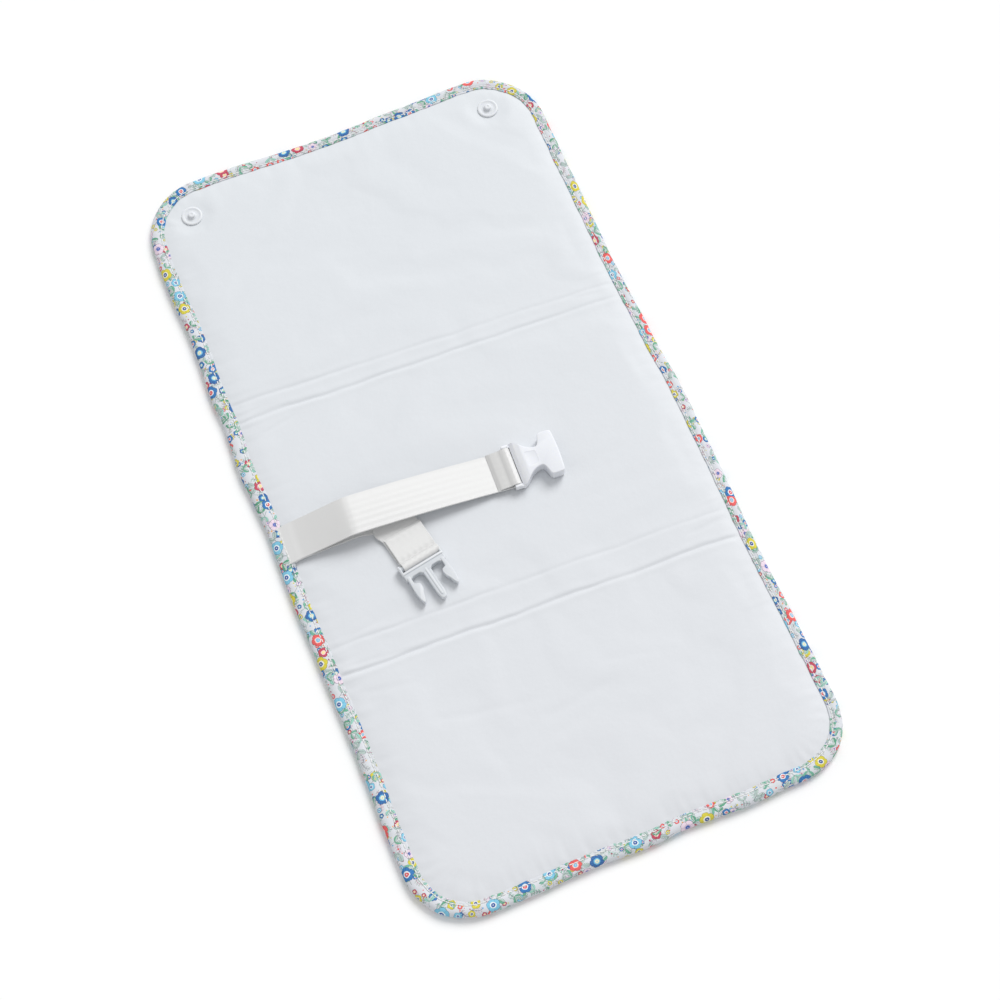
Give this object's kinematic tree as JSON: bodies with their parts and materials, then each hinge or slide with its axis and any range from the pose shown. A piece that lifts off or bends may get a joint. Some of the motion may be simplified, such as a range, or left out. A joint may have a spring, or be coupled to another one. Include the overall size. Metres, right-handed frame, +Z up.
{
  "type": "changing pad",
  "caption": "Fold-up baby changing pad, lightly padded, with bound edge, corner press snaps and buckled webbing strap.",
  "frame": {"origin": "middle of the open pad's underside, where it rests", "axes": "+X across the pad away from the strap seam, +Y along the pad towards the snap end, +Z up out of the padded face"},
  "size_m": [0.318, 0.61, 0.0204],
  "materials": {
    "face_cloth": "wipe-clean coated cloth, cool white",
    "print_cloth": null,
    "wadding": "white polyester wadding",
    "webbing": "white twill webbing",
    "buckle_plastic": "white acetal, satin",
    "snap_plastic": "white resin"
  },
  "bodies": {
    "middle_panel": {"middle_face_cover": "face_cloth", "middle_wadding": "wadding", "middle_backing": "print_cloth", "middle_binding": "print_cloth", "long_webbing_end": "webbing", "short_webbing_end": "webbing"},
    "lower_fold": {"lower_fold_face": "face_cloth", "lower_fold_wadding": "wadding", "lower_fold_backing": "print_cloth", "lower_fold_binding": "print_cloth"},
    "lower_panel": {"bottom_face_cover": "face_cloth", "bottom_wadding": "wadding", "bottom_backing": "print_cloth", "bottom_binding": "print_cloth", "snap_sockets": "snap_plastic", "snap_socket_rings": "snap_plastic"},
    "upper_fold": {"upper_fold_face": "face_cloth", "upper_fold_wadding": "wadding", "upper_fold_backing": "print_cloth", "upper_fold_binding": "print_cloth"},
    "upper_panel": {"top_face_cover": "face_cloth", "top_wadding": "wadding", "top_backing": "print_cloth", "top_binding": "print_cloth", "snap_studs": "snap_plastic", "snap_stud_caps": "snap_plastic"},
    "long_strap": {"long_webbing": "webbing"},
    "socket": {"buckle_socket": "buckle_plastic"},
    "short_strap": {"short_webbing": "webbing"},
    "plug": {"buckle_plug_frame": "buckle_plastic"},
    "plug_left_arm": {"plug_arm_left": "buckle_plastic"},
    "plug_right_arm": {"plug_arm_right": "buckle_plastic"}
  },
  "joints": [
    {"name": "lower_fold_inner", "type": "hinge", "parent": "middle_panel", "child": "lower_fold", "pos_m": [0, -0.0955, 0.006], "axis": [-1, 0, 0], "range_deg": [0, 90]},
    {"name": "lower_fold_outer", "type": "hinge", "parent": "lower_fold", "child": "lower_panel", "pos_m": [0, -0.1195, 0.006], "axis": [-1, 0, 0], "range_deg": [0, 90]},
    {"name": "upper_fold_inner", "type": "hinge", "parent": "middle_panel", "child": "upper_fold", "pos_m": [0, 0.0915, 0.006], "axis": [1, 0, 0], "range_deg": [0, 90]},
    {"name": "upper_fold_outer", "type": "hinge", "parent": "upper_fold", "child": "upper_panel", "pos_m": [0, 0.1235, 0.006], "axis": [1, 0, 0], "range_deg": [0, 90]},
    {"name": "long_strap_swing", "type": "hinge", "parent": "middle_panel", "child": "long_strap", "pos_m": [-0.1485, -0.0062, 0.00895], "axis": [0, -1, 0], "range_deg": [0, 165]},
    {"name": "short_strap_swing", "type": "hinge", "parent": "middle_panel", "child": "short_strap", "pos_m": [-0.1485, -0.0062, 0.00895], "axis": [0, -1, 0], "range_deg": [0, 165]},
    {"name": "socket_tilt", "type": "hinge", "parent": "long_strap", "child": "socket", "pos_m": [0.02027, -0.01504, 0.0116], "axis": [-0.0523, -0.9986, 0], "range_deg": [0, 70]},
    {"name": "plug_tilt", "type": "hinge", "parent": "short_strap", "child": "plug", "pos_m": [-0.0665, -0.0545, 0.01095], "axis": [-0.9833, -0.1822, 0], "range_deg": [0, 70]},
    {"name": "left_arm_flex", "type": "hinge", "parent": "plug", "child": "plug_left_arm", "pos_m": [-0.07844, -0.06637, 0.01095], "axis": [0, 0, 1], "range_deg": [0, 6]},
    {"name": "right_arm_flex", "type": "hinge", "parent": "plug", "child": "plug_right_arm", "pos_m": [-0.0511, -0.06131, 0.01095], "axis": [0, 0, -1], "range_deg": [0, 6]}
  ],
  "couplings": [
    {"joint": "lower_fold_outer", "follows": "lower_fold_inner", "ratio": 1},
    {"joint": "upper_fold_outer", "follows": "upper_fold_inner", "ratio": 1},
    {"joint": "short_strap_swing", "follows": "long_strap_swing", "ratio": 1},
    {"joint": "right_arm_flex", "follows": "left_arm_flex", "ratio": 1}
  ]
}
